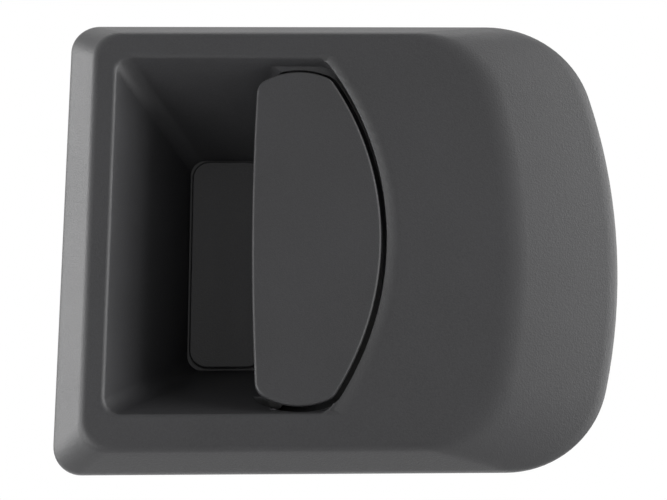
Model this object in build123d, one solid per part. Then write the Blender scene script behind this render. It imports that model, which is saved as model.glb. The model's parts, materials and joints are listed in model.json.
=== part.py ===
"""Outer handle of a large panel van's sliding side door, built as its separate pieces.

Millimetres. The origin is the middle of the housing's outline, on the seat plane where the flange meets the
door skin. -Y points out of the door, towards the user, +Y into the door, +X right and +Z up.
A D-shaped paddle rocks on a vertical pin. Its grip edge at the left is pulled out of the door, its curved
right edge dips into the pocket, and its tail pushes a bellcrank that turns in the plane of the door skin.
"""
from build123d import *
from math import acos, asin, atan2, cos, degrees, hypot, pi, radians, sin, sqrt, tan
import os

# Housing: outline at the seat plane
BASE_LEFT = 79.4            # seat plane to the left edge, from the origin
BASE_RIGHT = 79.1           # to the tip of the bulged right edge
BASE_HALF = 65.7            # half the height
BASE_BULGE = 171.0          # radius of the right edge
BASE_LEFT_CORNER = 8.0
BASE_RIGHT_CORNER = 30.0
# Housing: run of each flank from that outline in to the flat face, without the rounding between them
FLANK_RUN_LEFT = 8.7
FLANK_RUN_RIGHT = 30.8
FLANK_RUN_ENDS = 5.85
FACE_BULGE = 176.0
FACE_LEFT_CORNER = 8.0
FACE_RIGHT_CORNER = 24.0
FACE_HEIGHT = 10.0          # face above the seat plane
LIP_HEIGHT = 1.2            # flank's straight line above the seat plane, where its rounded foot meets the edge
EDGE_ROUND_DEPTH = 1.05     # how far down the face-to-flank rounding reaches
WALL = 2.6                  # moulded wall of the bezel
CUP_WALL = 2.5              # moulded wall of the cup and of the pocket
SEAT_LAND = 1.8             # flange land outside the gasket, on the steep flanks
SEAT_LAND_SHALLOW = 5.6     # the same on the shallow right flank

# Finger cup
BORDER_LEFT = 5.9           # flat face beside the mouth
BORDER_ENDS = 8.25          # flat face above and below the mouth, on average
MOUTH_RISE = 1.1            # middle of the mouth above the middle of the handle
CUP_CORNER = 4.5
CUP_DRAFT_SIDE = 26.9       # slope of the left wall, degrees from straight in
CUP_DRAFT_ENDS = 26.6       # slope of the top and bottom walls
CUP_DRAFT_INNER = 10.0      # slope of the wall behind the paddle
CUP_DEPTH = 37.2            # face to the bottom of the groove round the pad
CUP_INNER_FROM_HINGE = 7.8  # hinge axis to the inner wall's cup side, at the hinge's depth
MOUTH_ROUND = 1.0           # rounding of the mouth's edge
MOUTH_CORNER_RIGHT = 5.0
MOUTH_BAND = 3.5            # depth over which the mouth reaches across the paddle
MOUTH_INSIDE = 0.08         # mouth's right end inside the paddle's opening
PAD_HEIGHT = 1.4            # raised pad on the floor
PAD_MARGIN = 0.55           # groove between the pad and the walls, at its bottom
PAD_CORNER = 5.5
PAD_EDGE = 0.45

# Paddle
PADDLE_LEFT = 25.25         # grip edge, from the origin
PADDLE_LEFT_BULGE = 800.0
PADDLE_RIGHT = 11.0         # tip of the curved right edge, from the origin
PADDLE_RIGHT_FALL = 15.3    # how far that edge has curved back at the paddle's highest point
PADDLE_END_MARGIN = 3.4     # half height of the mouth, less that of the paddle
CROWN_CENTRE_X = 12.0       # centre of the top and bottom edges, to the left of the origin
CROWN_RADIUS = 20.0
PADDLE_LEFT_CORNER = 4.5
PADDLE_RIGHT_CORNER = 5.0
PADDLE_SUNK = 0.6           # paddle's face below the housing's face
PADDLE_SKIN = 2.4
PADDLE_SKIRT = 1.8
SKIRT_DEPTH = 5.6           # paddle's face to the skirt's free edge
SKIRT_DRAFT = 16.0          # the skirt leans in behind the face, degrees
PADDLE_EDGE_ROUND = 0.9
PADDLE_GAP = 1.5            # gap round the paddle
GRIP_RADIUS = 2.3           # bead behind the grip edge
GRIP_INSET = 9.2            # paddle's highest point to the bead's upper end
PADDLE_RIB = 1.6
PADDLE_RIB_DEPTH = 2.4
PADDLE_RIB_PLACES = (-29.0, 29.0)

# Pocket and the scooped edge along its curved side
LEDGE_DEPTH = 14.0          # face to the pocket's ledge
POCKET_DEPTH = 18.0         # face to the back end of the pocket's wall
SCOOP_WIDTH = 4.2
SCOOP_DEPTH = 1.0
SCOOP_BEYOND = 0.3          # scooped edge's end beyond the cup's
SCOOP_END_RUN = 1.5

# Hinge
HINGE_X = -9.0
HINGE_DEPTH = 6.6           # face to the hinge axis
PIN_RADIUS = 2.0
PIN_OVERHANG = 2.7          # pin beyond the cheeks
FIT = 0.05                  # radial clearance of a running fit
SEAT_FIT = 0.02             # radial clearance of a pressed piece
BUSH_WALL = 0.95
BUSH_FLANGE = 0.7
BUSH_FLANGE_RADIUS = 3.3
EAR_RADIUS = 4.4
EAR_WIDTH = 5.0
PLAY = 0.1                  # end play between bush flange and cheek
CHEEK_INSET = 9.4           # paddle's highest point to a cheek's inner side
STEEL = 2.0                 # sheet of the hinge plate and of the bellcrank's bracket
CHEEK_END_RADIUS = 3.3
GROOVE_DEPTH = 0.5
CLIP_THICKNESS = 0.7
CLIP_RADIUS = 3.2
CLIP_GAP = 0.5              # cheek to the clip
CLIP_MOUTH = 2.2

# Hinge plate and the bellcrank's bracket, which share four screws
PLATE_CLEARANCE = 0.5       # hinge plate to the cup's inner wall
TAIL_NOTCH_RIGHT = 15.5     # hinge axis to the right end of the notch for the tail
TAIL_NOTCH_SIDE = 1.5       # room above and below the tail
BACK_PLATE_DEPTH = 36.0     # face to the front of the bracket's back plate
LEG_LEFT = 4.6              # bracket leg to the left and right of the hinge axis
LEG_RIGHT = 12.6
BACK_PLATE_LEFT = 8.6
BACK_PLATE_RIGHT = 15.0
BACK_WINDOW = (9.0, 22.0)   # width and height of the pressing's window
BACK_WINDOW_Z = -20.0
SCREW_OUTSIDE = 3.3         # outside of the pocket's wall to the screws
FOOT_SCREW_X = (-10.0, 0.0)
FOOT_EDGE = 3.6             # screw centre to the edge of a foot
SCREW_RADIUS = 1.5
SCREW_LENGTH = 14.0         # under the head
SCREW_HEAD_RADIUS = 2.9
SCREW_HEAD = 1.9
SCREW_RECESS_RADIUS = 1.2
SCREW_RECESS = 1.0
SCREW_RECESS_SIDES = 6
SCREW_HOLE_RADIUS = 1.8
SCREW_BOSS_RADIUS = 3.6

# Tail of the paddle and the bellcrank that it pushes: equal arms, so they turn through equal angles
ARM = 16.0                  # hinge axis to tail bar, and bellcrank pivot to its stud
ARM_ANGLE = 50.0            # both at rest, degrees from +X
TAIL_BAR_RADIUS = 2.0
TAIL_HALF = 9.5
TAIL_PLATE = 2.5
STUD_RADIUS = 2.0
CONTACT_GAP = 0.3
STUD_RISE = 1.7             # stud above the middle of the handle at rest
LEVER_DEPTH = 29.0          # face to the bellcrank's front side
LEVER_THICKNESS = 2.5
LEVER_HUB_RADIUS = 4.2
LEVER_STUD_EYE = 3.6
LEVER_ROD_EYE = 5.0
LEVER_ROD_REACH = (24.0, 6.0)
STUD_REACH = 13.5           # stud in front of the bellcrank
RIVET_RADIUS = 2.0
RIVET_HEAD_RADIUS = 4.0
RIVET_HEAD = 1.0
RIVET_TAIL_RADIUS = 3.0
RIVET_TENON_RADIUS = 1.6
RIVET_BUSH_WALL = 0.7
WASHER = 0.6
ROD_CLIP_BORE = 2.0
ROD_CLIP_NECK = 2.95
ROD_CLIP_FLANGE = 3.8
ROD_CLIP_FLANGE_WIDTH = 1.4
ROD_CLIP_TAIL = 2.5

# Springs
SPRING_WIRE = 0.5           # wire radius of both
COIL_PITCH = 1.6
RETURN_COIL = 2.8
RETURN_TURNS = 2.25         # from the hole in the hinge plate round to the paddle's skin
RETURN_Z = -18.0
RETURN_LEG = 9.0
RETURN_ANCHOR_LEG = 16.0
ANCHOR_HOLE_RADIUS = 0.8
LEVER_COIL = 2.9
LEVER_TURNS = 2             # whole turns
LEVER_ANCHOR_LEG = 14.0
LEVER_LEG = 27.0
TAB_HEIGHT = 5.0            # the bracket's lanced tab that stops the bellcrank spring
TAB_BELOW_PIVOT = 14.0
TAB_REACH = 3.5

# Rubber buffers, gasket and mounting studs
BUFFER_X = -18.5
BUFFER_INSET = 1.7          # paddle's highest point to the buffer
BUFFER_RADIUS = 1.9
BUFFER_STEM_RADIUS = 1.2
BUFFER_STEM = 3.0
BUFFER_GAP = 0.3
GASKET_THICKNESS = 1.2
GASKET_WIDTH = 3.2
GASKET_PLAY = 0.1
STUD_LEFT_INSET = 9.9       # left edge of the flange to the left stud
STUD_RIGHT_INSET = 40.6     # right edge of the flange to the right stud
MOUNT_STUD_RADIUS = 3.0
MOUNT_STUD_LENGTH = 24.0
MOUNT_STUD_CHAMFER = 0.8
STUD_HEAD_RADIUS = 4.6
STUD_HEAD = 4.5
STUD_BOSS_RADIUS = 6.6
RIB = 1.8
RIB_BELOW_SEAT = 1.8
RIGHT_RIBS = (-34.0, -17.0, 17.0, 34.0)

# Places that follow from the sizes
FACE_LEFT = BASE_LEFT - FLANK_RUN_LEFT
FACE_RIGHT = BASE_RIGHT - FLANK_RUN_RIGHT
FACE_HALF = BASE_HALF - FLANK_RUN_ENDS
CUP_LEFT = FACE_LEFT - BORDER_LEFT
CUP_HALF = FACE_HALF - BORDER_ENDS
PADDLE_HALF = CUP_HALF - PADDLE_END_MARGIN
PADDLE_RIGHT_RADIUS = (PADDLE_HALF ** 2 + PADDLE_RIGHT_FALL ** 2) / (2 * PADDLE_RIGHT_FALL)
PADDLE_RIGHT_CENTRE = PADDLE_RIGHT_RADIUS - PADDLE_RIGHT
CROWN_CENTRE_Z = PADDLE_HALF - CROWN_RADIUS
GRIP_HALF = PADDLE_HALF - GRIP_INSET
SCOOP_HALF = CUP_HALF + SCOOP_BEYOND
CHEEK_INNER = PADDLE_HALF - CHEEK_INSET
PIN_HALF = CHEEK_INNER + STEEL + PIN_OVERHANG
BUFFER_Z = PADDLE_HALF - BUFFER_INSET
FOOT_SCREW_Z = PADDLE_HALF + PADDLE_GAP + CUP_WALL + SCREW_OUTSIDE
STUD_LEFT_X = STUD_LEFT_INSET - BASE_LEFT
STUD_RIGHT_X = BASE_RIGHT - STUD_RIGHT_INSET
FACE_Y = -FACE_HEIGHT
HINGE_Y = FACE_Y + HINGE_DEPTH
LEDGE_Y = FACE_Y + LEDGE_DEPTH
POCKET_Y = FACE_Y + POCKET_DEPTH
CUP_FLOOR_Y = FACE_Y + CUP_DEPTH
BACK_PLATE_Y = FACE_Y + BACK_PLATE_DEPTH
LEVER_Y = FACE_Y + LEVER_DEPTH
PADDLE_Y = FACE_Y + PADDLE_SUNK
SKIN_Y = PADDLE_Y + PADDLE_SKIN
SKIRT_Y = PADDLE_Y + SKIRT_DEPTH
FLANK_HEIGHT = FACE_HEIGHT - LIP_HEIGHT
FLANK_LEFT = atan2(FLANK_HEIGHT, FLANK_RUN_LEFT)
FLANK_ENDS = atan2(FLANK_HEIGHT, FLANK_RUN_ENDS)
FLANK_RIGHT = atan2(FLANK_HEIGHT, FLANK_RUN_RIGHT)
TAIL_X = HINGE_X + ARM * cos(radians(ARM_ANGLE))
TAIL_Y = HINGE_Y + ARM * sin(radians(ARM_ANGLE))
PIVOT_X = HINGE_X - TAIL_BAR_RADIUS - STUD_RADIUS - CONTACT_GAP
PIVOT_Z = ARM * sin(radians(ARM_ANGLE)) + STUD_RISE
LEVER_STUD_X = PIVOT_X + ARM * cos(radians(ARM_ANGLE))
LEVER_STUD_Z = PIVOT_Z - ARM * sin(radians(ARM_ANGLE))
LEVER_ROD_X = PIVOT_X + LEVER_ROD_REACH[0]
LEVER_ROD_Z = PIVOT_Z + LEVER_ROD_REACH[1]
INTO_DOOR = (0, 1, 0)
UP = (0, 0, 1)
OVERCUT = 1.0
RIGHT_ANGLE = 90.0
FULL_TURN = 360.0


def front_plane(y):
    """A plane parallel to the door skin whose own x and y are the handle's X and Z."""
    return Plane(origin=(0, y, 0), x_dir=(1, 0, 0), z_dir=(0, -1, 0))


def level_plane(z):
    """A horizontal plane whose own x and y are the handle's X and Y."""
    return Plane(origin=(0, 0, z), x_dir=(1, 0, 0), z_dir=(0, 0, 1))


def into_door(face, depth):
    """The solid that a face parallel to the door skin sweeps when it moves into the door."""
    return extrude(face, amount=depth, dir=INTO_DOOR)


def post(x, z, radius, y_front, y_back):
    """A round post or hole along Y."""
    return into_door(front_plane(y_front) * Pos(x, z) * Circle(radius), y_back - y_front)


def upright(x, y, radius, z_low, z_high):
    """A round bar or hole along Z."""
    return extrude(level_plane(z_low) * Pos(x, y) * Circle(radius), amount=z_high - z_low, dir=UP)


def block(x_range, y_range, z_range):
    """A block between two limits on each axis."""
    size = [high - low for low, high in (x_range, y_range, z_range)]
    middle = [(high + low) / 2 for low, high in (x_range, y_range, z_range)]
    return Pos(*middle) * Box(*size)


def arc_about(centre, start, end, y):
    """The shorter arc about a centre from start to end, points as (x, z)."""
    radius = hypot(start[0] - centre[0], start[1] - centre[1])
    way_x = start[0] + end[0] - 2 * centre[0]
    way_z = start[1] + end[1] - 2 * centre[1]
    scale = radius / hypot(way_x, way_z)
    middle = (centre[0] + way_x * scale, y, centre[1] + way_z * scale)
    return ThreePointArc((start[0], y, start[1]), middle, (end[0], y, end[1]))


def line(start, end, y):
    return Line((start[0], y, start[1]), (end[0], y, end[1]))


def beyond(centre, through, radius):
    """The point on a circle about centre that lies in line with another point."""
    reach = hypot(through[0] - centre[0], through[1] - centre[1])
    return tuple(c + (t - c) * radius / reach for c, t in zip(centre, through))


def bulged_outline(y, left, right, bulge, half, left_corner, right_corner):
    """Outline with a straight left edge at x = -left and a right edge that bulges out to x = right."""
    centre = (right - bulge, 0)
    corner_z = half - right_corner
    corner_x = centre[0] + sqrt((bulge - right_corner) ** 2 - corner_z ** 2)
    top = (corner_x, half)
    side = beyond(centre, (corner_x, corner_z), bulge)
    start = (-left + left_corner, half)
    low = (-left, half - left_corner)
    left_centre = (-left + left_corner, half - left_corner)

    def mirrored(point):
        return (point[0], -point[1])

    edges = [
        line(start, top, y),
        arc_about((corner_x, corner_z), top, side, y),
        arc_about(centre, side, mirrored(side), y),
        arc_about((corner_x, -corner_z), mirrored(side), mirrored(top), y),
        line(mirrored(top), mirrored(start), y),
        arc_about(mirrored(left_centre), mirrored(start), mirrored(low), y),
        line(mirrored(low), low, y),
        arc_about(left_centre, low, start, y),
    ]
    return Wire(edges)


def box_outline(y, left, right, half, corner):
    """Rounded rectangle between x = left and x = right."""
    face = front_plane(y) * Pos((left + right) / 2, 0) * RectangleRounded(right - left, 2 * half, corner)
    return face.wire()


def circles_meet(first, first_radius, second, second_radius):
    """The upper of the two points where two circles cross."""
    run = (second[0] - first[0], second[1] - first[1])
    apart = hypot(*run)
    along = (first_radius ** 2 - second_radius ** 2 + apart ** 2) / (2 * apart)
    aside = sqrt(first_radius ** 2 - along ** 2)
    unit = (run[0] / apart, run[1] / apart)
    places = [(first[0] + along * unit[0] - side * aside * unit[1],
               first[1] + along * unit[1] + side * aside * unit[0]) for side in (-1, 1)]
    return max(places, key=lambda place: place[1])


def paddle_outline(y, grown=0.0):
    """The paddle's D, or the same D grown by a clearance or shrunk by a wall."""
    left = (PADDLE_LEFT_BULGE - PADDLE_LEFT, 0)
    right = (-PADDLE_RIGHT_CENTRE, 0)
    crown = (-CROWN_CENTRE_X, CROWN_CENTRE_Z)
    left_radius = PADDLE_LEFT_BULGE + grown
    right_radius = PADDLE_RIGHT_RADIUS + grown
    crown_radius = CROWN_RADIUS + grown
    left_corner = PADDLE_LEFT_CORNER + grown
    right_corner = PADDLE_RIGHT_CORNER + grown
    at_left = circles_meet(crown, crown_radius - left_corner, left, left_radius - left_corner)
    at_right = circles_meet(right, right_radius - right_corner, crown, crown_radius - right_corner)

    def low(point):
        return (point[0], -point[1])

    left_end = beyond(left, at_left, left_radius)
    crown_left = beyond(crown, at_left, crown_radius)
    crown_right = beyond(crown, at_right, crown_radius)
    right_end = beyond(right, at_right, right_radius)
    edges = [
        arc_about(left, low(left_end), left_end, y),
        arc_about(at_left, left_end, crown_left, y),
        arc_about(crown, crown_left, crown_right, y),
        arc_about(at_right, crown_right, right_end, y),
        arc_about(right, right_end, low(right_end), y),
        arc_about(low(at_right), low(right_end), low(crown_right), y),
        arc_about(low(crown), low(crown_right), low(crown_left), y),
        arc_about(low(at_left), low(crown_left), low(left_end), y),
    ]
    return Wire(edges)


def flank_offset(depth, slope):
    """How far a flank lies outside the face's sharp edge, at a depth below the face.

    Above EDGE_ROUND_DEPTH it follows the arc that is tangent to the face and to the flank.
    """
    if depth >= EDGE_ROUND_DEPTH:
        return depth / tan(slope)
    radius = EDGE_ROUND_DEPTH / (1 - cos(slope))
    return radius * sin(acos(1 - depth / radius)) - radius * tan(slope / 2)


def foot_radius(slope):
    """Radius of the arc that runs from a flank into the flange's upright edge at the seat plane."""
    return LIP_HEIGHT / tan((pi / 2 - slope) / 2)


def foot_inset(depth, slope):
    """How much the rounded foot takes off a flank's straight line, at a depth below the face."""
    if depth <= FLANK_HEIGHT - LIP_HEIGHT * sin(slope):
        return 0.0
    radius = foot_radius(slope)
    arc = radius - sqrt(radius ** 2 - (FACE_HEIGHT - depth) ** 2)
    return (depth - FLANK_HEIGHT) / tan(slope) + arc


def bezel_section(depth, wall=0.0):
    """Outline of the bezel at a depth below the face, or of the hollow that leaves a wall behind it."""
    share = min(depth / FLANK_HEIGHT, 1.0)
    edges = []
    for face_edge, slope in ((FACE_LEFT, FLANK_LEFT), (FACE_HALF, FLANK_ENDS), (FACE_RIGHT, FLANK_RIGHT)):
        drawn_in = wall / sin(slope) if wall > 0 else foot_inset(depth, slope)
        edges.append(face_edge + flank_offset(depth, slope) - drawn_in)
    bulge = FACE_BULGE + (BASE_BULGE - FACE_BULGE) * share - wall / sin(FLANK_RIGHT)
    thinner = wall / sin(FLANK_ENDS)
    left_corner = FACE_LEFT_CORNER + (BASE_LEFT_CORNER - FACE_LEFT_CORNER) * share - thinner
    right_corner = FACE_RIGHT_CORNER + (BASE_RIGHT_CORNER - FACE_RIGHT_CORNER) * share - thinner
    return bulged_outline(FACE_Y + depth, edges[0], edges[2], bulge, edges[1], left_corner, right_corner)


def base_outline(y, inset=0.0, right_inset=None):
    """Outline of the flange, drawn in evenly, or by another amount at the right."""
    right_inset = inset if right_inset is None else right_inset
    return bulged_outline(y, BASE_LEFT - inset, BASE_RIGHT - right_inset, BASE_BULGE - right_inset,
                          BASE_HALF - inset, BASE_LEFT_CORNER - inset, BASE_RIGHT_CORNER - inset)


def bezel_block():
    """The bezel without its hollow: flat face, rounded edge, sloped flanks and their rounded foot."""
    steps = 4
    depths = [EDGE_ROUND_DEPTH * (step / steps) ** 2 for step in range(steps + 1)]
    foot_steps = 3
    for step in range(foot_steps + 1):
        turn = FLANK_ENDS + (pi / 2 - FLANK_ENDS) * step / foot_steps
        depths.append(FACE_HEIGHT - foot_radius(FLANK_ENDS) * cos(turn))
    return Solid.make_loft([bezel_section(depth) for depth in depths], True)


def bezel_hollow():
    """The hollow behind the bezel, which leaves an even wall behind the face and the flanks."""
    return Solid.make_loft([bezel_section(WALL, WALL), bezel_section(FACE_HEIGHT + OVERCUT, WALL)], True)


def gasket_outline(y, inset=0.0):
    return base_outline(y, SEAT_LAND + inset, SEAT_LAND_SHALLOW + inset)


def cup_place(y):
    """Left edge, half height and inner edge of the cup at a depth."""
    depth = y - FACE_Y
    left = -CUP_LEFT + depth * tan(radians(CUP_DRAFT_SIDE))
    half = CUP_HALF - depth * tan(radians(CUP_DRAFT_ENDS))
    inner = HINGE_X - CUP_INNER_FROM_HINGE - (y - HINGE_Y) * tan(radians(CUP_DRAFT_INNER))
    return left, half, inner


def raised(y, outline):
    """The mouth sits a little above the handle's middle, and the cup's floor in the middle."""
    return Pos(0, 0, MOUTH_RISE * (CUP_FLOOR_Y - y) / CUP_DEPTH) * outline


def cup_section(y, wall=0.0):
    """The cup's own section at a depth, or its outside when a wall is given."""
    left, half, inner = cup_place(y)
    left -= wall / cos(radians(CUP_DRAFT_SIDE))
    half += wall / cos(radians(CUP_DRAFT_ENDS))
    inner += wall / cos(radians(CUP_DRAFT_INNER))
    return raised(y, box_outline(y, left, inner, half, CUP_CORNER + wall))


def mouth_section(depth, grown):
    """The mouth across cup and paddle at a depth, with its rounded edge."""
    y = FACE_Y + depth
    left, half, _ = cup_place(y)
    right = PADDLE_RIGHT_RADIUS + PADDLE_GAP - PADDLE_RIGHT_CENTRE - MOUTH_INSIDE
    return raised(y, bulged_outline(y, grown - left, right, PADDLE_RIGHT_RADIUS + PADDLE_GAP,
                                    half + grown, CUP_CORNER + grown, MOUTH_CORNER_RIGHT + grown))


def mouth_void():
    steps = 3
    sections = []
    for step in range(steps + 1):
        turn = pi / 2 * (1 - step / steps)
        sections.append(mouth_section(MOUTH_ROUND * (1 - sin(turn)), MOUTH_ROUND * (1 - cos(turn))))
    sections.append(mouth_section(MOUTH_BAND, 0.0))
    return Solid.make_loft(sections, True)


def scoop_cutter():
    """The scooped edge along the curved side of the paddle's opening."""
    edge = PADDLE_RIGHT_RADIUS + PADDLE_GAP
    radius = (SCOOP_WIDTH ** 2 + SCOOP_DEPTH ** 2) / (2 * SCOOP_DEPTH)
    centre = (edge + SCOOP_WIDTH, FACE_Y + radius)
    outer = (edge + SCOOP_WIDTH, FACE_Y)
    inner = (edge, FACE_Y + SCOOP_DEPTH)
    turn = asin(SCOOP_WIDTH / radius) / 2
    middle = (centre[0] - radius * sin(turn), centre[1] - radius * cos(turn))
    inside = edge - 2 * OVERCUT
    edges = [
        ThreePointArc(outer, middle, inner),
        Line(inner, (inside, inner[1])),
        Line((inside, inner[1]), (inside, FACE_Y - OVERCUT)),
        Line((inside, FACE_Y - OVERCUT), (outer[0], FACE_Y - OVERCUT)),
        Line((outer[0], FACE_Y - OVERCUT), outer),
    ]
    profile = Pos(-PADDLE_RIGHT_CENTRE, 0) * Face(Wire(edges))
    ring = revolve(profile, axis=Axis((-PADDLE_RIGHT_CENTRE, 0, 0), INTO_DOOR))
    narrow = SCOOP_HALF - SCOOP_END_RUN
    corners = [(FACE_Y - OVERCUT, SCOOP_HALF), (FACE_Y, SCOOP_HALF), (FACE_Y + SCOOP_DEPTH, narrow),
               (FACE_Y + SCOOP_DEPTH, -narrow), (FACE_Y, -SCOOP_HALF), (FACE_Y - OVERCUT, -SCOOP_HALF)]
    side = Face(Wire(Polyline([(0, y, MOUTH_RISE + z) for y, z in corners], close=True).edges()))
    limit = extrude(side, amount=BASE_RIGHT, dir=(1, 0, 0)) + extrude(side, amount=PADDLE_LEFT, dir=(-1, 0, 0))
    return ring & limit


def floor_pad():
    """The raised pad on the cup's floor."""
    left, half, inner = cup_place(CUP_FLOOR_Y)
    top = CUP_FLOOR_Y - PAD_HEIGHT
    outline = box_outline(top, left + PAD_MARGIN, inner - PAD_MARGIN, half - PAD_MARGIN, PAD_CORNER)
    pad = into_door(Face(outline), PAD_HEIGHT + OVERCUT)
    return chamfer(pad.faces().sort_by(Axis.Y)[0].edges(), PAD_EDGE)


def screw_places():
    return [(x, z) for z in (-FOOT_SCREW_Z, FOOT_SCREW_Z) for x in FOOT_SCREW_X]


def make_housing():
    """Bezel, finger cup, paddle pocket, bosses and ribs, moulded as one piece."""
    cup_outside = Solid.make_loft([cup_section(FACE_Y + WALL / 2, CUP_WALL),
                                   cup_section(CUP_FLOOR_Y + CUP_WALL, CUP_WALL)], True)
    pocket_outside = into_door(Face(paddle_outline(FACE_Y + WALL / 2, PADDLE_GAP + CUP_WALL)),
                               POCKET_DEPTH - WALL / 2)
    hollow = bezel_hollow()
    for z in RIGHT_RIBS:
        hollow -= block((0, BASE_RIGHT), (FACE_Y, -RIB_BELOW_SEAT), (z - RIB / 2, z + RIB / 2))
    for x in (STUD_LEFT_X, STUD_RIGHT_X):
        hollow -= post(x, 0, STUD_BOSS_RADIUS, FACE_Y, 0)
        hollow -= block((x - RIB / 2, x + RIB / 2), (FACE_Y, -RIB_BELOW_SEAT), (-BASE_HALF, BASE_HALF))
    body = bezel_block() - hollow
    body -= into_door(Face(gasket_outline(-GASKET_THICKNESS)), GASKET_THICKNESS + OVERCUT) & hollow_band()
    body += cup_outside
    body += pocket_outside
    for x, z in screw_places():
        body += post(x, z, SCREW_BOSS_RADIUS, FACE_Y + WALL / 2, POCKET_Y)
        toward = (CUP_HALF - CUP_CORNER) * (1 if z > 0 else -1)
        body += block((x - RIB / 2, x + RIB / 2), (FACE_Y + WALL / 2, POCKET_Y - RIB),
                      (min(toward, z), max(toward, z)))
    through = into_door(Face(paddle_outline(LEDGE_Y - OVERCUT, PADDLE_GAP)), POCKET_DEPTH)
    ledge = PIN_HALF + OVERCUT
    through &= block((-BASE_LEFT, BASE_RIGHT), (FACE_Y, BACK_PLATE_Y), (-ledge, ledge))
    body -= through - cup_outside
    body -= into_door(Face(paddle_outline(FACE_Y - OVERCUT, PADDLE_GAP)), LEDGE_DEPTH + OVERCUT)
    body -= mouth_void()
    body -= Solid.make_loft([cup_section(FACE_Y + MOUTH_BAND), cup_section(CUP_FLOOR_Y)], True)
    body += floor_pad()
    body -= scoop_cutter()
    for x, z in screw_places():
        body -= post(x, z, SCREW_RADIUS + FIT, POCKET_Y + 2 * STEEL - SCREW_LENGTH - SCREW_RADIUS, POCKET_Y)
    for side in (-1, 1):
        body -= post(BUFFER_X, side * BUFFER_Z, BUFFER_STEM_RADIUS + SEAT_FIT, LEDGE_Y - OVERCUT,
                     LEDGE_Y + BUFFER_STEM + FIT)
    for x in (STUD_LEFT_X, STUD_RIGHT_X):
        body -= post(x, 0, STUD_HEAD_RADIUS + SEAT_FIT, -STUD_HEAD - FIT, OVERCUT)
    return body


def hollow_band():
    """Keeps the gasket's seat off the stud bosses, which reach the seat plane."""
    band = block((-BASE_LEFT, BASE_RIGHT), (-GASKET_THICKNESS, OVERCUT), (-BASE_HALF, BASE_HALF))
    for x in (STUD_LEFT_X, STUD_RIGHT_X):
        band -= post(x, 0, STUD_BOSS_RADIUS, FACE_Y, OVERCUT)
    return band


def make_gasket():
    """Rubber ring in the flange's step, flush with the seat plane, notched round a stud boss that it meets."""
    outer = Face(gasket_outline(-GASKET_THICKNESS, GASKET_PLAY))
    inner = Face(gasket_outline(-GASKET_THICKNESS, GASKET_PLAY + GASKET_WIDTH))
    ring = into_door(outer, GASKET_THICKNESS) - into_door(inner, GASKET_THICKNESS)
    for x in (STUD_LEFT_X, STUD_RIGHT_X):
        ring -= post(x, 0, STUD_BOSS_RADIUS + GASKET_PLAY, FACE_Y, OVERCUT)
    return ring


def make_paddle():
    """D-shaped rocker: skin, skirt, grip bead, two hinge ears and the tail with its round bar."""
    skin = into_door(Face(paddle_outline(PADDLE_Y)), PADDLE_SKIN)
    skin = fillet(skin.faces().sort_by(Axis.Y)[0].edges(), PADDLE_EDGE_ROUND)
    skirt = skirt_block(0.0, SKIRT_Y) - skirt_block(PADDLE_SKIRT, SKIRT_Y + OVERCUT)
    skirt -= block((-PADDLE_LEFT - OVERCUT, -PADDLE_LEFT + 2 * GRIP_RADIUS), (SKIN_Y, 0),
                   (-GRIP_HALF, GRIP_HALF))
    paddle = skin + skirt
    grip_x = -PADDLE_LEFT + GRIP_RADIUS + PADDLE_EDGE_ROUND
    paddle += upright(grip_x, SKIN_Y, GRIP_RADIUS, -GRIP_HALF, GRIP_HALF)
    for z in PADDLE_RIB_PLACES:
        band = into_door(Face(paddle_outline(SKIN_Y, -PADDLE_SKIRT / 2)), PADDLE_RIB_DEPTH)
        strip = block((-PADDLE_LEFT, BASE_RIGHT), (SKIN_Y, 0), (z - PADDLE_RIB / 2, z + PADDLE_RIB / 2))
        swing = upright(HINGE_X, HINGE_Y, EAR_RADIUS, z - PADDLE_RIB, z + PADDLE_RIB)
        paddle += (band & strip) - swing
    ear_outer = CHEEK_INNER - PLAY - BUSH_FLANGE
    for side in (-1, 1):
        low, high = sorted((side * ear_outer, side * (ear_outer - EAR_WIDTH)))
        ear = upright(HINGE_X, HINGE_Y, EAR_RADIUS, low, high)
        ear += block((HINGE_X - EAR_RADIUS, HINGE_X + EAR_RADIUS), (SKIN_Y - OVERCUT, HINGE_Y), (low, high))
        paddle += ear
        plate_low, plate_high = sorted((side * TAIL_HALF, side * (TAIL_HALF - TAIL_PLATE)))
        paddle += tail_plate(plate_low, plate_high)
    paddle += upright(TAIL_X, TAIL_Y, TAIL_BAR_RADIUS, -TAIL_HALF, TAIL_HALF)
    reach = ear_outer + OVERCUT
    return paddle - upright(HINGE_X, HINGE_Y, PIN_RADIUS + FIT + BUSH_WALL + SEAT_FIT, -reach, reach)


def skirt_block(inset, back):
    """The D behind the skin, drawn in evenly and by the skirt's draft, down to a depth."""
    drawn_in = inset + (back - SKIN_Y) * tan(radians(SKIRT_DRAFT))
    return Solid.make_loft([paddle_outline(SKIN_Y, -inset), paddle_outline(back, -drawn_in)], True)


def tail_plate(low, high):
    """One of the tail's two plates, from the paddle's skin to its round bar."""
    eye = TAIL_BAR_RADIUS + PADDLE_RIB / 2
    root = SKIN_Y - OVERCUT
    corners = [(TAIL_X - 2 * eye, root), (TAIL_X + 2 * eye, root), (TAIL_X + eye, TAIL_Y),
               (TAIL_X - eye, TAIL_Y)]
    plate = make_face(Polyline([level_plane(low).from_local_coords((x, y, 0)) for x, y in corners], close=True))
    return extrude(plate, amount=high - low, dir=UP) + upright(TAIL_X, TAIL_Y, eye, low, high)


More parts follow.
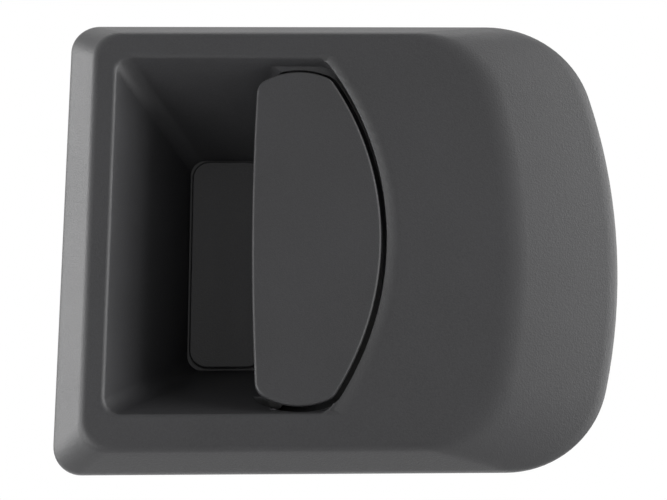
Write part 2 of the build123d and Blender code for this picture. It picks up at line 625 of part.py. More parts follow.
def foot(side, front):
    """A foot with its two screw holes, from a bent edge outwards."""
    low, high = sorted((side * CHEEK_INNER, side * (FOOT_SCREW_Z + FOOT_EDGE)))
    sheet = block((FOOT_SCREW_X[0] - FOOT_EDGE, FOOT_SCREW_X[1] + FOOT_EDGE), (front, front + STEEL), (low, high))
    for x in FOOT_SCREW_X:
        sheet -= post(x, side * FOOT_SCREW_Z, SCREW_HOLE_RADIUS, front - OVERCUT, front + STEEL + OVERCUT)
    return sheet


def make_hinge_plate():
    """Pressed steel plate that closes the pocket's back and carries the hinge pin in two cheeks."""
    back = POCKET_Y + STEEL
    sheet = into_door(Face(paddle_outline(POCKET_Y, PADDLE_GAP + CUP_WALL)), STEEL)
    left = cup_place(back)[2] + CUP_WALL / cos(radians(CUP_DRAFT_INNER)) + PLATE_CLEARANCE
    plate = sheet & block((left, BASE_RIGHT), (POCKET_Y, back), (-BASE_HALF, BASE_HALF))
    notch = TAIL_HALF + TAIL_NOTCH_SIDE
    plate -= block((left - OVERCUT, HINGE_X + TAIL_NOTCH_RIGHT), (POCKET_Y - OVERCUT, back + OVERCUT),
                   (-notch, notch))
    plate -= post(HINGE_X - RETURN_COIL, RETURN_Z, ANCHOR_HOLE_RADIUS, POCKET_Y - OVERCUT, back + OVERCUT)
    for side in (-1, 1):
        low, high = sorted((side * CHEEK_INNER, side * (CHEEK_INNER + STEEL)))
        cheek = block((HINGE_X - CHEEK_END_RADIUS, HINGE_X + CHEEK_END_RADIUS), (HINGE_Y, back), (low, high))
        cheek += upright(HINGE_X, HINGE_Y, CHEEK_END_RADIUS, low, high)
        cheek -= upright(HINGE_X, HINGE_Y, PIN_RADIUS + SEAT_FIT, low - OVERCUT, high + OVERCUT)
        plate += cheek + foot(side, POCKET_Y)
    return plate


def make_bellcrank_bracket():
    """Pressed steel bridge behind the hinge plate: back plate for the bellcrank, two legs and two feet."""
    cheek_outer = CHEEK_INNER + STEEL
    front = POCKET_Y + STEEL
    back = BACK_PLATE_Y + STEEL
    bracket = block((HINGE_X - BACK_PLATE_LEFT, HINGE_X + BACK_PLATE_RIGHT), (BACK_PLATE_Y, back),
                    (-cheek_outer, cheek_outer))
    window = front_plane(BACK_PLATE_Y - OVERCUT) * Pos(HINGE_X + LEG_LEFT, BACK_WINDOW_Z)
    bracket -= into_door(window * RectangleRounded(BACK_WINDOW[0], BACK_WINDOW[1], STEEL), STEEL + 2 * OVERCUT)
    bracket -= post(PIVOT_X, PIVOT_Z, RIVET_TENON_RADIUS + SEAT_FIT, BACK_PLATE_Y - OVERCUT, back + OVERCUT)
    for side in (-1, 1):
        low, high = sorted((side * CHEEK_INNER, side * cheek_outer))
        bracket += block((HINGE_X - LEG_LEFT, HINGE_X + LEG_RIGHT), (front, BACK_PLATE_Y), (low, high))
        bracket += foot(side, front)
    tab_right = PIVOT_X + LEVER_COIL - SPRING_WIRE - CONTACT_GAP
    tab_low = PIVOT_Z - TAB_BELOW_PIVOT
    return bracket + block((tab_right - STEEL, tab_right), (BACK_PLATE_Y - TAB_REACH, BACK_PLATE_Y),
                           (tab_low, tab_low + TAB_HEIGHT))


def make_pin():
    """Hinge pin with a groove near each end for its clip."""
    pin = upright(HINGE_X, HINGE_Y, PIN_RADIUS, -PIN_HALF, PIN_HALF)
    pin = chamfer(pin.edges().filter_by(GeomType.CIRCLE), GROOVE_DEPTH / 2)
    for side in (-1, 1):
        low, high = clip_span(side)
        ring = upright(HINGE_X, HINGE_Y, PIN_RADIUS + OVERCUT, low, high)
        pin -= ring - upright(HINGE_X, HINGE_Y, PIN_RADIUS - GROOVE_DEPTH, low, high)
    return pin


def clip_span(side, slack=FIT):
    """Height range of a clip's groove, or of the clip itself when slack is zero."""
    near = CHEEK_INNER + STEEL + CLIP_GAP - slack
    far = CHEEK_INNER + STEEL + CLIP_GAP + CLIP_THICKNESS + slack
    return sorted((side * near, side * far))


def make_clip(side):
    """Snap ring in the pin's groove, open towards the back."""
    low, high = clip_span(side, 0.0)
    clip = upright(HINGE_X, HINGE_Y, CLIP_RADIUS, low, high)
    clip -= upright(HINGE_X, HINGE_Y, PIN_RADIUS - GROOVE_DEPTH + SEAT_FIT, low - OVERCUT, high + OVERCUT)
    return clip - block((HINGE_X - CLIP_MOUTH / 2, HINGE_X + CLIP_MOUTH / 2), (HINGE_Y, HINGE_Y + CLIP_RADIUS),
                        (low - OVERCUT, high + OVERCUT))


def make_bush(side):
    """Flanged plastic bush in a paddle ear."""
    face = CHEEK_INNER - PLAY - BUSH_FLANGE
    low, high = sorted((side * face, side * (face - EAR_WIDTH)))
    flange_low, flange_high = sorted((side * face, side * (face + BUSH_FLANGE)))
    bush = upright(HINGE_X, HINGE_Y, PIN_RADIUS + FIT + BUSH_WALL, low, high)
    bush += upright(HINGE_X, HINGE_Y, BUSH_FLANGE_RADIUS, flange_low, flange_high)
    return bush - upright(HINGE_X, HINGE_Y, PIN_RADIUS + FIT, -CHEEK_INNER, CHEEK_INNER)


def torsion_spring(radius, turns, first_leg, last_leg):
    """Coil about the local z axis from the local x axis, with a level tangent leg at each end.

    Each half turn is half a ring that leans, so that it climbs by half the pitch. What is left of the last
    turn stays level.
    """
    halves = int(2 * turns)
    climb = COIL_PITCH / 2
    spring = Plane(origin=(radius, 0, 0), z_dir=(0, -1, 0)) * Circle(SPRING_WIRE)
    spring = extrude(spring, amount=first_leg, dir=(0, -1, 0))
    for half in range(halves):
        side = 1 if half % 2 == 0 else -1
        wire = Plane(origin=(side * radius, 0, half * climb), z_dir=(0, side, 0)) * Circle(SPRING_WIRE)
        axis = Axis((0, 0, (half + 0.5) * climb), (side * climb / 2, 0, radius))
        spring += revolve(wire, axis=axis, revolution_arc=FULL_TURN / 2)
    side = 1 if halves % 2 == 0 else -1
    height = halves * climb
    rest = FULL_TURN * turns - FULL_TURN / 2 * halves
    wire = Plane(origin=(side * radius, 0, height), z_dir=(0, side, 0)) * Circle(SPRING_WIRE)
    if rest > 0:
        spring += revolve(wire, axis=Axis((0, 0, height), UP), revolution_arc=rest)
    turned = 2 * pi * turns
    way = Vector(-sin(turned), cos(turned), 0)
    end = Vector(radius * cos(turned), radius * sin(turned), height)
    return spring + extrude(Plane(origin=end, z_dir=way) * Circle(SPRING_WIRE), amount=last_leg, dir=way)


def make_return_spring():
    """Torsion spring round the hinge pin: one leg in the hinge plate's hole, the other behind the paddle."""
    place = Pos(HINGE_X, HINGE_Y, RETURN_Z) * Rot(0, 0, FULL_TURN / 2)
    return place * torsion_spring(RETURN_COIL, RETURN_TURNS, RETURN_ANCHOR_LEG, RETURN_LEG)


def make_lever():
    """Bellcrank: hub, short arm for the stud and long arm for the rod clip, cut from one sheet."""
    hub = Pos(PIVOT_X, PIVOT_Z) * Circle(LEVER_HUB_RADIUS)
    stud_eye = Pos(LEVER_STUD_X, LEVER_STUD_Z) * Circle(LEVER_STUD_EYE)
    rod_eye = Pos(LEVER_ROD_X, LEVER_ROD_Z) * Circle(LEVER_ROD_EYE)
    arms = [make_hull(hub.edges() + eye.edges()) for eye in (stud_eye, rod_eye)]
    plane = front_plane(LEVER_Y)
    lever = into_door(plane * arms[0], LEVER_THICKNESS) + into_door(plane * arms[1], LEVER_THICKNESS)
    back = LEVER_Y + LEVER_THICKNESS + OVERCUT
    lever -= post(PIVOT_X, PIVOT_Z, RIVET_RADIUS + FIT + RIVET_BUSH_WALL + SEAT_FIT, LEVER_Y - OVERCUT, back)
    lever -= post(LEVER_STUD_X, LEVER_STUD_Z, STUD_RADIUS - GROOVE_DEPTH + SEAT_FIT, LEVER_Y - OVERCUT, back)
    return lever - post(LEVER_ROD_X, LEVER_ROD_Z, ROD_CLIP_NECK + SEAT_FIT, LEVER_Y - OVERCUT, back)


def make_lever_stud():
    """Round stud riveted into the bellcrank, which the tail's bar pushes."""
    stud = post(LEVER_STUD_X, LEVER_STUD_Z, STUD_RADIUS, LEVER_Y - STUD_REACH, LEVER_Y)
    stud += post(LEVER_STUD_X, LEVER_STUD_Z, STUD_RADIUS - GROOVE_DEPTH, LEVER_Y, LEVER_Y + LEVER_THICKNESS)
    back = LEVER_Y + LEVER_THICKNESS
    return stud + post(LEVER_STUD_X, LEVER_STUD_Z, STUD_RADIUS, back, back + RIVET_HEAD / 2)


def make_rivet():
    """Shoulder rivet that carries the bellcrank on the bracket's back plate."""
    front = LEVER_Y - WASHER - RIVET_HEAD - PLAY
    rivet = post(PIVOT_X, PIVOT_Z, RIVET_HEAD_RADIUS, front, front + RIVET_HEAD)
    rivet += post(PIVOT_X, PIVOT_Z, RIVET_RADIUS, front, BACK_PLATE_Y)
    rivet += post(PIVOT_X, PIVOT_Z, RIVET_TENON_RADIUS, BACK_PLATE_Y, BACK_PLATE_Y + STEEL)
    back = BACK_PLATE_Y + STEEL
    return rivet + post(PIVOT_X, PIVOT_Z, RIVET_TAIL_RADIUS, back, back + RIVET_HEAD)


def make_lever_bush():
    bush = post(PIVOT_X, PIVOT_Z, RIVET_RADIUS + FIT + RIVET_BUSH_WALL, LEVER_Y, LEVER_Y + LEVER_THICKNESS)
    return bush - post(PIVOT_X, PIVOT_Z, RIVET_RADIUS + FIT, LEVER_Y - OVERCUT, BACK_PLATE_Y)


def make_washer():
    front = LEVER_Y - WASHER - PLAY / 2
    washer = post(PIVOT_X, PIVOT_Z, RIVET_HEAD_RADIUS, front, front + WASHER)
    return washer - post(PIVOT_X, PIVOT_Z, RIVET_RADIUS + FIT, front - OVERCUT, front + 2 * OVERCUT)


def make_lever_spring():
    """Torsion spring round the rivet: one leg under the rod clip's tail, the other on the bracket's tab."""
    reach = hypot(*LEVER_ROD_REACH)
    drop = ROD_CLIP_NECK + SPRING_WIRE + CONTACT_GAP - LEVER_COIL
    leg_angle = degrees(atan2(LEVER_ROD_REACH[1], LEVER_ROD_REACH[0]) - asin(drop / reach))
    start_angle = RIGHT_ANGLE - leg_angle
    turns = LEVER_TURNS - start_angle / FULL_TURN
    gap = BACK_PLATE_Y - LEVER_Y - LEVER_THICKNESS
    first = LEVER_Y + LEVER_THICKNESS + (gap - int(2 * turns) * COIL_PITCH / 2) / 2
    place = Plane(origin=(PIVOT_X, first, PIVOT_Z), x_dir=(1, 0, 0), z_dir=INTO_DOOR) * Rot(0, 0, start_angle)
    return place * torsion_spring(LEVER_COIL, turns, LEVER_LEG, LEVER_ANCHOR_LEG)


def make_rod_clip():
    """Plastic clip in the bellcrank's long arm, with the bore that takes the latch rod."""
    back = LEVER_Y + LEVER_THICKNESS
    front = LEVER_Y - ROD_CLIP_FLANGE_WIDTH
    clip = post(LEVER_ROD_X, LEVER_ROD_Z, ROD_CLIP_FLANGE, front, LEVER_Y)
    clip += post(LEVER_ROD_X, LEVER_ROD_Z, ROD_CLIP_NECK, LEVER_Y, back)
    clip += post(LEVER_ROD_X, LEVER_ROD_Z, ROD_CLIP_NECK + FIT, back, back + ROD_CLIP_TAIL)
    return clip - post(LEVER_ROD_X, LEVER_ROD_Z, ROD_CLIP_BORE, front - OVERCUT, back + 2 * ROD_CLIP_TAIL)


def make_buffer(side):
    """Rubber buffer on the pocket's ledge, which the paddle's skirt rests on."""
    top = SKIRT_Y + BUFFER_GAP
    buffer = post(BUFFER_X, side * BUFFER_Z, BUFFER_RADIUS, top, LEDGE_Y)
    return buffer + post(BUFFER_X, side * BUFFER_Z, BUFFER_STEM_RADIUS, LEDGE_Y, LEDGE_Y + BUFFER_STEM)


def make_mounting_stud(x):
    """Steel stud whose head is moulded into its boss; the shank starts at the seat plane."""
    stud = post(x, 0, STUD_HEAD_RADIUS, -STUD_HEAD, 0)
    shank = post(x, 0, MOUNT_STUD_RADIUS, 0, MOUNT_STUD_LENGTH)
    shank = chamfer(shank.faces().sort_by(Axis.Y)[-1].edges(), MOUNT_STUD_CHAMFER)
    return stud + shank


def make_screw(x, z):
    """Self-tapping screw that holds a foot of the hinge plate and of the bracket to its boss."""
    head = POCKET_Y + 2 * STEEL
    screw = post(x, z, SCREW_RADIUS, head - SCREW_LENGTH, head)
    screw += post(x, z, SCREW_HEAD_RADIUS, head, head + SCREW_HEAD)
    bottom = front_plane(head + SCREW_HEAD - SCREW_RECESS) * Pos(x, z)
    recess = bottom * RegularPolygon(SCREW_RECESS_RADIUS, SCREW_RECESS_SIDES)
    return screw - into_door(recess, SCREW_RECESS)


def main():
    parts = {
        "housing": make_housing(),
        "gasket": make_gasket(),
        "paddle": make_paddle(),
        "hinge_plate": make_hinge_plate(),
        "bellcrank_bracket": make_bellcrank_bracket(),
        "hinge_pin": make_pin(),
        "return_spring": make_return_spring(),
        "bellcrank": make_lever(),
        "bellcrank_stud": make_lever_stud(),
        "bellcrank_rivet": make_rivet(),
        "bellcrank_bush": make_lever_bush(),
        "bellcrank_washer": make_washer(),
        "bellcrank_spring": make_lever_spring(),
        "rod_clip": make_rod_clip(),
        "mounting_stud_left": make_mounting_stud(STUD_LEFT_X),
        "mounting_stud_right": make_mounting_stud(STUD_RIGHT_X),
    }
    for side, word in ((-1, "lower"), (1, "upper")):
        parts["pin_clip_" + word] = make_clip(side)
        parts["hinge_bush_" + word] = make_bush(side)
        parts["stop_buffer_" + word] = make_buffer(side)
    for number, (x, z) in enumerate(screw_places(), 1):
        parts["bracket_screw_" + str(number)] = make_screw(x, z)
    os.makedirs("parts", exist_ok=True)
    for name, part in parts.items():
        export_step(part, "parts/" + name + ".step")
        print(name, round(part.volume), "mm3")


main()
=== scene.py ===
"""Looks of the van door handle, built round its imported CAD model.

Metres, in the frame of the CAD model: -Y points out of the door, +X right and +Z up.
"""
import json
import math

import bmesh
import bpy
from mathutils import Matrix, Vector


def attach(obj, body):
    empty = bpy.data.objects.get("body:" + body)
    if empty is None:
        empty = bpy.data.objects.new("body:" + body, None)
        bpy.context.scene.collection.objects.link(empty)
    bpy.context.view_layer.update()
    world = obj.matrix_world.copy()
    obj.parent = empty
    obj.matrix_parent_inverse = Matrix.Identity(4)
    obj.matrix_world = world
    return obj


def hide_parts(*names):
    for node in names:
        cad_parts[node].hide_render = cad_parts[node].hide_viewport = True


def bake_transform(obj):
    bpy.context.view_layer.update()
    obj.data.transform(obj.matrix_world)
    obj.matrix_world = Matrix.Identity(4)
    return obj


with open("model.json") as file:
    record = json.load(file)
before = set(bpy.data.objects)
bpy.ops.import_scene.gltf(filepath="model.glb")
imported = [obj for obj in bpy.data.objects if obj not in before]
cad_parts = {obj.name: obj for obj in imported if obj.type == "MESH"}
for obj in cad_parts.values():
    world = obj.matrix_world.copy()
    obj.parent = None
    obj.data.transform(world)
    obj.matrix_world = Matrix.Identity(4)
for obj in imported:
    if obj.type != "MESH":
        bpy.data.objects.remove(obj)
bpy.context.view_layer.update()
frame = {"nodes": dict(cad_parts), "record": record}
NODES = frame["nodes"]
BODY_OF = {node: body for body, nodes in frame["record"]["behaviour"]["bodies"].items() for node in nodes}
SLOT_OF = {row["node"]: row["material_slot"] for row in frame["record"]["subparts"]}
MM = 0.001

# Camera, solved from the photograph's perspective
IMAGE_WIDTH = 667           # pixels
FOCAL_PIXELS = 1264.0
SENSOR = 36.0               # millimetres
CAMERA_DISTANCE = 361.1 * MM
CAMERA_RISE = math.radians(14.0)
CAMERA_YAW = math.radians(1.29)
CAMERA_ROLL = math.radians(-0.44)
CAMERA_TARGET = Vector((-2.3, 0.0, -2.56)) * MM
CAMERA_NEAR = 0.01
CAMERA_FAR = 20.0

# Floor, well below the handle
FLOOR_LEVEL = -0.32
FLOOR_REACH = 3.0
FLOOR_TONE = 0.85
FLOOR_ROUGHNESS = 0.9

# Studio: name, place, point it looks at, width and height in metres, and power in watts
HANDLE = (0.0, 0.0, 0.0)
SOFT_BOXES = (
    ("left_box", (-0.95, -0.12, 0.10), HANDLE, (0.7, 0.9), 8.4),
    ("left_low_box", (-0.72, -0.56, -0.15), HANDLE, (0.3, 0.3), 4.8),
    ("left_back_box", (-0.9, 0.1, 0.1), HANDLE, (0.4, 0.9), 5.6),
    ("right_box", (0.95, -0.22, 0.08), HANDLE, (0.6, 0.9), 15.6),
    ("right_front_box", (0.62, -0.72, 0.1), HANDLE, (0.4, 0.6), 0.8),
    ("right_top_box", (0.7, -0.3, 0.6), HANDLE, (0.5, 0.5), 3.0),
    ("top_box", (0.0, 0.1, 0.95), HANDLE, (1.2, 0.3), 3.6),
    ("back_box", (0.0, 0.9, 0.0), HANDLE, (1.2, 0.5), 2.0),
    ("floor_box", (0.0, 0.35, -0.08), (0.0, 0.35, FLOOR_LEVEL), (1.0, 0.3), 1.8),
)
SEEN_WHITE = 1.0            # strength of the surroundings for rays that see them
SURROUND_LIGHT = 0.02       # and for the light that they give

# Range of a noise pattern that holds most of its values
NOISE_LOW = 0.3
NOISE_HIGH = 0.7

# Copies of the solids' meshes
WELD_DISTANCE = 0.002 * MM
SHARP_ANGLE = math.radians(28.0)
WEIGHT_BY_AREA = 100        # the largest faces set the normals

# Scooped edge beside the paddle's curved side, in millimetres
SCOOP_CENTRE_X = -72.57     # centre of the curve that the edge follows
SCOOP_INNER = 85.07         # radius of the edge at the gap
SCOOP_WIDTH = 4.2
SCOOP_SOLID_DEPTH = 1.0     # depth at the gap in the solid
SCOOP_DEPTH = 1.4           # and here, where its fall is fuller
SCOOP_REACH = 1.1           # how far from its outer edge its points are looked for, in widths
SCOOP_ROOM = 0.1            # and how far below the solid's depth
SCOOP_TOUCH = 0.025         # how near the solid's scoop a point of it lies
FACE_Y = -10.0
PADDLE_LEFT_X = -25.0

# Coil springs: bodies of the first and last leg, and start and end of the coil's twist, in millimetres
SPRING_TWISTS = {
    "return_spring": ("body", "paddle", (-9.0, -3.4, -17.5), (-9.0, -3.4, -15.3)),
    "bellcrank_spring": ("bellcrank", "body", (-13.3, 23.05, 13.96), (-13.3, 24.45, 13.96)),
}


def make_camera():
    """Below the handle and a little to its left, looking up at it."""
    forward = Vector((math.sin(CAMERA_YAW) * math.cos(CAMERA_RISE),
                      math.cos(CAMERA_YAW) * math.cos(CAMERA_RISE), math.sin(CAMERA_RISE)))
    level = Vector((math.cos(CAMERA_YAW), -math.sin(CAMERA_YAW), 0.0))
    upright = level.cross(forward)
    right = level * math.cos(CAMERA_ROLL) + upright * math.sin(CAMERA_ROLL)
    up = right.cross(forward)
    place = CAMERA_TARGET - forward * CAMERA_DISTANCE
    data = bpy.data.cameras.new("camera")
    data.sensor_width = SENSOR
    data.lens = FOCAL_PIXELS / IMAGE_WIDTH * SENSOR
    data.clip_start = CAMERA_NEAR
    data.clip_end = CAMERA_FAR
    camera = bpy.data.objects.new("camera", data)
    bpy.context.scene.collection.objects.link(camera)
    camera.matrix_world = Matrix(((right.x, up.x, -forward.x, place.x),
                                  (right.y, up.y, -forward.y, place.y),
                                  (right.z, up.z, -forward.z, place.z),
                                  (0.0, 0.0, 0.0, 1.0)))
    bpy.context.scene.camera = camera


def grey(level, blue=1.0):
    """Grey at a level. blue above 1 makes it cooler."""
    return (level, level, level * blue, 1.0)


def tinted(level, tint):
    """tint at a level, with the opaque alpha that a colour socket takes."""
    return tuple(level * t for t in tint) + (1.0,)


class Shader:
    """A material's node tree, with short calls for the nodes that it uses."""

    def __init__(self, name):
        self.material = bpy.data.materials.new(name)
        self.material.use_nodes = True
        self.tree = self.material.node_tree
        self.surface = self.tree.nodes["Principled BSDF"]
        self.place = self.node("ShaderNodeTexCoord").outputs["Object"]

    def node(self, kind, **settings):
        made = self.tree.nodes.new(kind)
        for key, value in settings.items():
            setattr(made, key, value)
        return made

    def link(self, source, target):
        self.tree.links.new(source, target)

    def feed(self, target, value):
        """Links a socket, or sets a constant, to target."""
        if isinstance(value, bpy.types.NodeSocket):
            self.link(value, target)
        else:
            target.default_value = value

    def noise(self, size, detail=2.0, roughness=0.5, stretch=(1.0, 1.0, 1.0)):
        """Soft random pattern whose blobs are about size metres wide, from 0 to 1."""
        mapping = self.node("ShaderNodeMapping")
        mapping.inputs["Scale"].default_value = [1.0 / (size * s) for s in stretch]
        self.link(self.place, mapping.inputs["Vector"])
        made = self.node("ShaderNodeTexNoise")
        made.inputs["Scale"].default_value = 1.0
        made.inputs["Detail"].default_value = detail
        made.inputs["Roughness"].default_value = roughness
        self.link(mapping.outputs["Vector"], made.inputs["Vector"])
        return made.outputs["Fac"]

    def cells(self, size):
        """Distance to the nearest of many random points about size metres apart."""
        made = self.node("ShaderNodeTexVoronoi")
        made.inputs["Scale"].default_value = 1.0 / size
        self.link(self.place, made.inputs["Vector"])
        return made.outputs["Distance"]

    def spread(self, pattern, low=0.0, high=1.0):
        """A noise pattern's usual range becomes a number between low and high."""
        made = self.node("ShaderNodeMapRange")
        self.link(pattern, made.inputs["Value"])
        ends = (("From Min", NOISE_LOW), ("From Max", NOISE_HIGH), ("To Min", low), ("To Max", high))
        for name, number in ends:
            made.inputs[name].default_value = number
        return made.outputs["Result"]

    def mix(self, share, first, second):
        """Colour between first and second."""
        made = self.node("ShaderNodeMix", data_type="RGBA")
        self.feed(made.inputs["Factor"], share)
        self.feed(made.inputs["A"], first)
        self.feed(made.inputs["B"], second)
        return made.outputs["Result"]

    def bump(self, height, depth, before=None):
        """Relief of a pattern that is depth metres high between its 0 and its 1."""
        made = self.node("ShaderNodeBump")
        made.inputs["Strength"].default_value = 1.0
        made.inputs["Distance"].default_value = depth
        self.link(height, made.inputs["Height"])
        if before is not None:
            self.link(before, made.inputs["Normal"])
        return made.outputs["Normal"]

    def finish(self, colour, roughness, normal, **settings):
        """Sets the surface's sockets. settings are socket names with _ for a space, and constant."""
        self.feed(self.surface.inputs["Base Color"], colour)
        self.feed(self.surface.inputs["Roughness"], roughness)
        self.link(normal, self.surface.inputs["Normal"])
        for key, value in settings.items():
            self.surface.inputs[key.replace("_", " ")].default_value = value
        return self.material


def moulded_plastic(name, level, grain_size, grain_depth):
    """Charcoal moulded plastic with the fine even grain of an eroded mould."""
    dark, light, tips = level * 0.94, level * 1.06, level * 1.8
    pit_size, pit_depth = grain_size * 1.7, grain_depth * 0.5
    shader = Shader(name)
    grain = shader.noise(grain_size, detail=3.0, roughness=0.6)
    pits = shader.cells(pit_size)
    cloud = shader.noise(30 * MM)
    tint = shader.mix(shader.spread(cloud), grey(dark, blue=1.05), grey(light, blue=1.07))
    colour = shader.mix(shader.spread(grain, high=0.6), tint, grey(tips, blue=1.06))
    gloss = shader.spread(cloud, low=0.41, high=0.45)
    relief = shader.bump(pits, pit_depth, before=shader.bump(grain, grain_depth))
    return shader.finish(colour, gloss, relief, Specular_IOR_Level=0.3)


def plated_steel(name, level, tint, roughness, streak):
    """Rolled sheet or drawn bar with a thin plating: fine streaks along streak and cloudy colour."""
    dark, light = tinted(level * 0.85, tint), tinted(level * 1.1, tint)
    shader = Shader(name)
    streaks = shader.noise(0.4 * MM, detail=3.0, roughness=0.6, stretch=streak)
    cloud = shader.noise(6 * MM, detail=3.0)
    colour = shader.mix(shader.spread(cloud), dark, light)
    gloss = shader.spread(streaks, low=roughness - 0.06, high=roughness + 0.08)
    return shader.finish(colour, gloss, shader.bump(streaks, 0.004 * MM), Metallic=1.0)


def soft_rubber(name, level):
    """Moulded rubber with a dusty bloom."""
    bloomed = level * 2.2
    shader = Shader(name)
    grain = shader.noise(0.35 * MM, detail=3.0, roughness=0.6)
    bloom = shader.noise(4 * MM, detail=4.0)
    colour = shader.mix(shader.spread(bloom), grey(level), grey(bloomed))
    gloss = shader.spread(bloom, low=0.72, high=0.86)
    return shader.finish(colour, gloss, shader.bump(grain, 0.02 * MM), Specular_IOR_Level=0.15)


def pale_plastic(name, colour, roughness):
    """Undyed or pale moulded plastic, faintly mottled along its flow."""
    dark, light = tinted(0.88, colour), tinted(1.0, colour)
    shader = Shader(name)
    flow = shader.noise(3 * MM, detail=3.0, stretch=(1.0, 3.0, 1.0))
    grain = shader.noise(0.3 * MM)
    mottled = shader.mix(shader.spread(flow), dark, light)
    gloss = shader.spread(grain, low=roughness - 0.05, high=roughness + 0.05)
    return shader.finish(mottled, gloss, shader.bump(grain, 0.006 * MM))


def make_materials():
    """One material for each slot of the record, and for the hinge plate a plated steel kept dark as
    painted shade for the deep pocket behind the paddle.
    """
    return {
        "housing_plastic": moulded_plastic("housing_plastic", 0.018, 0.35 * MM, 0.045 * MM),
        "paddle_plastic": moulded_plastic("paddle_plastic", 0.0175, 0.3 * MM, 0.035 * MM),
        "rubber": soft_rubber("rubber", 0.008),
        "zinc_steel": plated_steel("zinc_steel", 0.58, (0.98, 1.0, 0.97), 0.36, (1.0, 1.0, 12.0)),
        # painted shade: the hinge plate's steel is made dark to stand for the shade deep in the pocket
        # behind the paddle; its streaks and cloudy colour are the plating's own
        "hinge_plate": plated_steel("hinge_plate", 0.06, (1.0, 1.0, 1.0), 0.45, (1.0, 1.0, 12.0)),
        "bright_steel": plated_steel("bright_steel", 0.62, (1.0, 1.0, 1.0), 0.26, (1.0, 1.0, 8.0)),
        "spring_steel": plated_steel("spring_steel", 0.3, (1.0, 1.0, 1.04), 0.34, (1.0, 1.0, 1.0)),
        "natural_plastic": pale_plastic("natural_plastic", (0.78, 0.74, 0.66), 0.42),
        "clip_plastic": pale_plastic("clip_plastic", (0.66, 0.67, 0.64), 0.4),
    }


def deepen_scoop(work):
    """Gives the scooped edge its full fall towards the gap. Points off the scoop's own surface stay.

    The solid's scoop is an arc across its width, and here it is a parabola.
    """
    radius = (SCOOP_WIDTH ** 2 + SCOOP_SOLID_DEPTH ** 2) / (2 * SCOOP_SOLID_DEPTH)
    for vert in work.verts:
        x, y, z = vert.co / MM
        share = (SCOOP_INNER + SCOOP_WIDTH - math.hypot(x - SCOOP_CENTRE_X, z)) / SCOOP_WIDTH
        depth = y - FACE_Y
        near = 0.0 < share < SCOOP_REACH and depth < SCOOP_SOLID_DEPTH + SCOOP_ROOM
        if not near or x <= PADDLE_LEFT_X:
            continue
        share = min(share, 1.0)
        solid = radius - math.sqrt(radius ** 2 - (share * SCOOP_WIDTH) ** 2)
        if depth > solid - SCOOP_TOUCH:
            vert.co.y += (SCOOP_DEPTH * share ** 2 - solid) * MM


def smooth_copy(node, material):
    """A copy of a CAD node's mesh with its seams welded, shaded smooth except at its real edges."""
    mesh = NODES[node].data.copy()
    mesh.name = node + "_skin"
    work = bmesh.new()
    work.from_mesh(mesh)
    bmesh.ops.remove_doubles(work, verts=work.verts, dist=WELD_DISTANCE)
    if node == "housing":
        deepen_scoop(work)
    for face in work.faces:
        face.smooth = True
    for edge in work.edges:
        edge.smooth = len(edge.link_faces) == 2 and edge.calc_face_angle(math.pi) < SHARP_ANGLE
    work.to_mesh(mesh)
    work.free()
    mesh.materials.clear()
    mesh.materials.append(material)
    made = bpy.data.objects.new(node + "_skin", mesh)
    bpy.context.scene.collection.objects.link(made)
    weighted = made.modifiers.new("weighted", "WEIGHTED_NORMAL")
    weighted.keep_sharp = True
    weighted.weight = WEIGHT_BY_AREA
    if node in SPRING_TWISTS:
        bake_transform(made)
    else:
        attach(made, BODY_OF[node])
    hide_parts(node)


def soft_box(name, place, aim, size, power):
    """A rectangular studio softbox that looks at a point and isn't seen itself."""
    data = bpy.data.lights.new(name, "AREA")
    data.shape = "RECTANGLE"
    data.size, data.size_y = size
    data.energy = power
    lamp = bpy.data.objects.new(name, data)
    bpy.context.scene.collection.objects.link(lamp)
    lamp.location = place
    lamp.visible_camera = False
    lamp.rotation_mode = "QUATERNION"
    lamp.rotation_quaternion = (Vector(aim) - Vector(place)).to_track_quat("-Z", "Y")


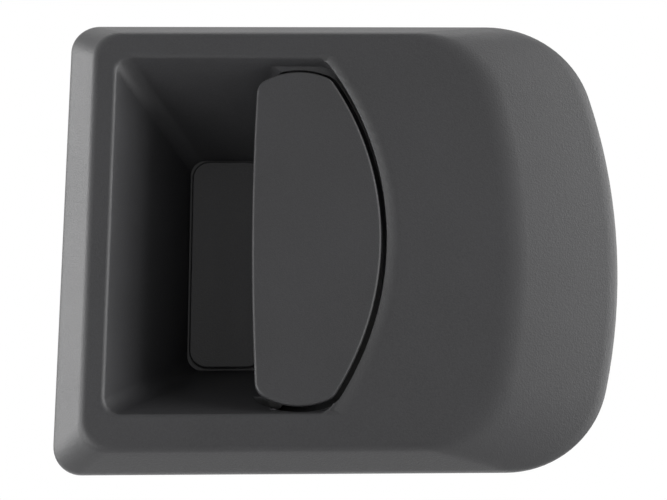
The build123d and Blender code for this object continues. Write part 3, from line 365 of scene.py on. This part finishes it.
def plain_background(tree, strength):
    """Output of a white background of that strength."""
    made = tree.nodes.new("ShaderNodeBackground")
    made.inputs["Color"].default_value = grey(1.0)
    made.inputs["Strength"].default_value = strength
    return made.outputs["Background"]


def make_world():
    """White where the camera, a glossy or a transmission ray sees it, and dim for other light."""
    world = bpy.data.worlds.new("studio")
    bpy.context.scene.world = world
    world.use_nodes = True
    tree = world.node_tree
    tree.nodes.clear()
    output = tree.nodes.new("ShaderNodeOutputWorld")
    white = plain_background(tree, SEEN_WHITE)
    dim = plain_background(tree, SURROUND_LIGHT)
    path = tree.nodes.new("ShaderNodeLightPath")
    seen = path.outputs["Is Camera Ray"]
    for name in ("Is Glossy Ray", "Is Transmission Ray"):
        either = tree.nodes.new("ShaderNodeMath")
        either.operation = "MAXIMUM"
        tree.links.new(seen, either.inputs[0])
        tree.links.new(path.outputs[name], either.inputs[1])
        seen = either.outputs["Value"]
    mix = tree.nodes.new("ShaderNodeMixShader")
    tree.links.new(seen, mix.inputs["Fac"])
    tree.links.new(dim, mix.inputs[1])
    tree.links.new(white, mix.inputs[2])
    tree.links.new(mix.outputs["Shader"], output.inputs["Surface"])


def make_floor():
    """Plain pale floor. The handle hangs over it in its own frame, as its studs hold it in the door."""
    mesh = bpy.data.meshes.new("floor")
    ways = ((-1, -1), (1, -1), (1, 1), (-1, 1))
    corners = [(x * FLOOR_REACH, y * FLOOR_REACH, FLOOR_LEVEL) for x, y in ways]
    mesh.from_pydata(corners, [], [(0, 1, 2, 3)])
    floor = bpy.data.objects.new("floor", mesh)
    bpy.context.scene.collection.objects.link(floor)
    material = bpy.data.materials.new("floor")
    material.use_nodes = True
    surface = material.node_tree.nodes["Principled BSDF"]
    surface.inputs["Base Color"].default_value = grey(FLOOR_TONE)
    surface.inputs["Roughness"].default_value = FLOOR_ROUGHNESS
    mesh.materials.append(material)


def main():
    bpy.context.scene.view_settings.view_transform = "Standard"
    make_camera()
    make_world()
    for box in SOFT_BOXES:
        soft_box(*box)
    make_floor()
    materials = make_materials()
    for node in NODES:
        smooth_copy(node, materials.get(node, materials[SLOT_OF[node]]))


main()
